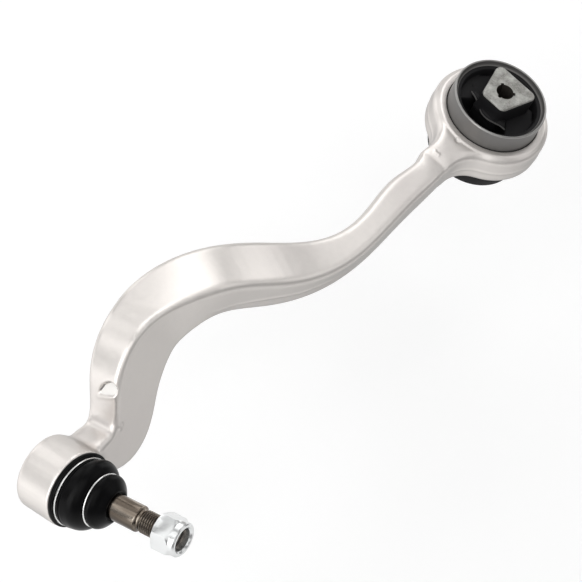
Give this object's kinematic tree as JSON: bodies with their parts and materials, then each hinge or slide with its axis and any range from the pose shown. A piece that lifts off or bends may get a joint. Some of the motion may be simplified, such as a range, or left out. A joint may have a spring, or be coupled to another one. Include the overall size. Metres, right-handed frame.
{
  "type": "control arm",
  "caption": "S-curved forged control arm with a keyed rubber and fluid bush in a round eye at one end and a booted ball joint with a threaded stud and lock nut at the other.",
  "frame": {"origin": "centre of the bush core's bore, halfway along it", "axes": "+Z along the bush bore, +X from the bush towards the ball joint, +Y to the side the stud points to"},
  "size_m": [0.4658, 0.1377, 0.0874],
  "materials": {
    "forged_aluminium": "silver painted satin forging skin",
    "sleeve_metal": "dull grey drawn sleeve",
    "cage_steel": "plain steel",
    "channel_plastic": "black glass-filled plastic",
    "bush_rubber": "matt black rubber",
    "cast_aluminium": "blasted casting",
    "seat_plastic": "natural acetal",
    "plate_steel": "zinc plated",
    "seal_rubber": "black rubber",
    "stud_steel": "turned steel with a brown tint",
    "nut_zinc": "bright zinc",
    "boot_rubber": "satin black rubber",
    "ring_steel": "bright spring steel"
  },
  "bodies": {
    "mounting_core": {"bush_core": "cast_aluminium", "bush_travel_stops": "channel_plastic"},
    "arm": {"arm_forging": "forged_aluminium", "bush_outer_sleeve": "sleeve_metal", "bush_window_cage": "cage_steel", "bush_channel_ring_front": "channel_plastic", "bush_channel_ring_rear": "channel_plastic", "bush_rubber": "bush_rubber", "ball_seat_front": "seat_plastic", "ball_seat_rear": "seat_plastic", "seat_preload_spring": "cage_steel", "closure_plate": "plate_steel", "closure_seal_ring": "seal_rubber", "boot_lower": "boot_rubber", "boot_base_ring": "ring_steel"},
    "boot_crease": {"boot_upper": "boot_rubber", "boot_mid_ring": "ring_steel"},
    "boot_neck": {"boot_neck_ring": "ring_steel"},
    "stud": {"ball_stud": "stud_steel"},
    "nut": {"lock_nut": "nut_zinc"}
  },
  "joints": [
    {"name": "bush_twist", "type": "hinge", "parent": "mounting_core", "child": "arm", "pos_m": [0, 0, 0], "axis": [0, 0, 1], "range_deg": [-20, 20], "stiffness_Nm_per_rad": 60, "deforming": ["bush_rubber"]},
    {"name": "stud_swing", "type": "hinge", "parent": "arm", "child": "boot_crease", "pos_m": [0.4, -0.002, -0.025], "axis": [0.0496, -0.4037, 0.9135], "range_deg": [-21, 10], "deforming": ["boot_lower"]},
    {"name": "stud_tilt", "type": "hinge", "parent": "boot_crease", "child": "boot_neck", "pos_m": [0.4, -0.002, -0.025], "axis": [0.9925, 0.1219, 0], "range_deg": [-10, 10], "deforming": ["boot_upper"]},
    {"name": "stud_spin", "type": "hinge", "parent": "boot_neck", "child": "stud", "pos_m": [0.4, -0.002, -0.025], "axis": [-0.1113, 0.9067, 0.4067], "continuous": true},
    {"name": "nut_travel", "type": "slide", "parent": "stud", "child": "nut", "axis": [-0.1113, 0.9067, 0.4067], "range_m": [-0.012, 0.07]}
  ]
}
